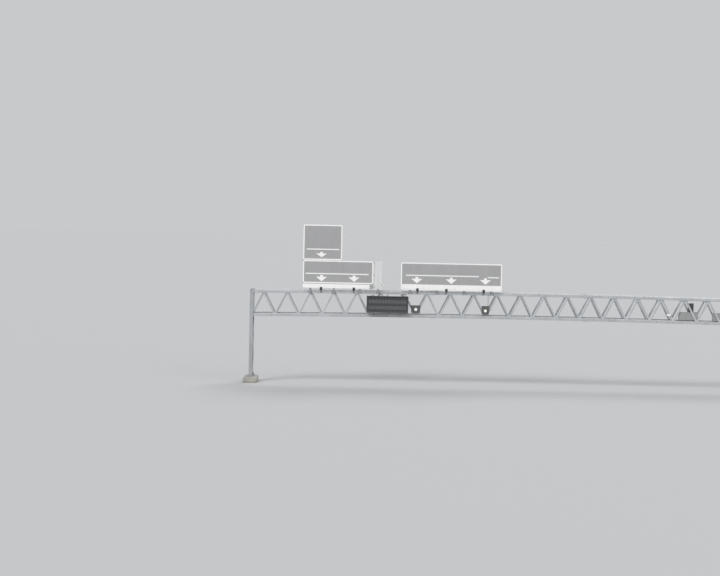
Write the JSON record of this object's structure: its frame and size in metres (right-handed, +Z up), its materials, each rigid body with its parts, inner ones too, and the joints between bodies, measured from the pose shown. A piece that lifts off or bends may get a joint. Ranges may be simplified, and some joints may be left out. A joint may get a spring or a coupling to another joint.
{
  "type": "overhead road sign gantry, 1:2 scale model",
  "caption": "Lattice portal gantry with a cambered box boom on braced legs, blank direction signs with lane arrows, sign lamps, a message sign and a maintenance walkway.",
  "frame": {"origin": "on the ground, at the middle of the left plinth's underside, midway between the boom's front and rear sides", "axes": "+X along the boom to the right as the signs are read, +Y away from the reader behind the signs, +Z up"},
  "size_m": [27.3, 2.11, 8.208],
  "materials": {
    "plinths": "cast concrete, matt",
    "leg_steel": "galvanised steel, weathered",
    "boom_steel": "galvanised steel, weathered",
    "bracing_steel": "galvanised steel, weathered",
    "deck": "galvanised grating",
    "cover_steel": "galvanised plate",
    "post_steel": "galvanised steel",
    "rail_alloy": "mill finish",
    "sign_sheet": "retroreflective sheeting on aluminium planks",
    "pale_sheet": "plain aluminium sheet",
    "lamp_arm_paint": "dark paint",
    "lamp_head_paint": "dark grey paint",
    "lamp_glass": "clear glass",
    "message_paint": "dark grey paint, matt",
    "message_screen": "dark louvred screen",
    "box_paint": "dark grey paint",
    "lens": "ribbed lens",
    "conduit_steel": "galvanised conduit",
    "cabinet_paint": "light grey paint",
    "unit_paint": "dark paint",
    "bar_diffuser": "opal diffuser"
  },
  "bodies": {
    "root": {"plinth_left": "plinths", "plinth_right": "plinths", "leg_left": "leg_steel", "leg_right": "leg_steel", "truss_front": "boom_steel", "truss_rear": "boom_steel", "bracing_top": "bracing_steel", "bracing_floor": "bracing_steel", "walkway_deck": "deck", "kick_strips": "cover_steel", "joint_covers": "cover_steel", "posts_left": "post_steel", "posts_middle": "post_steel", "struts_left": "post_steel", "struts_middle": "post_steel", "rails_left": "rail_alloy", "rails_middle": "rail_alloy", "sign_upper": "sign_sheet", "sign_lower": "sign_sheet", "side_panel": "pale_sheet", "sign_middle": "sign_sheet", "lamp_arms": "lamp_arm_paint", "lamp_heads": "lamp_head_paint", "lamp_glasses": "lamp_glass", "message_case": "message_paint", "message_screen": "message_screen", "message_hangers": "post_steel", "signal_boxes": "box_paint", "signal_lenses": "lens", "signal_conduit": "conduit_steel", "cabinets": "cabinet_paint", "cabinet_unit": "unit_paint", "lamp_bar": "bar_diffuser", "spot_lamp": "box_paint", "spot_glass": "lamp_glass"}
  },
  "joints": []
}
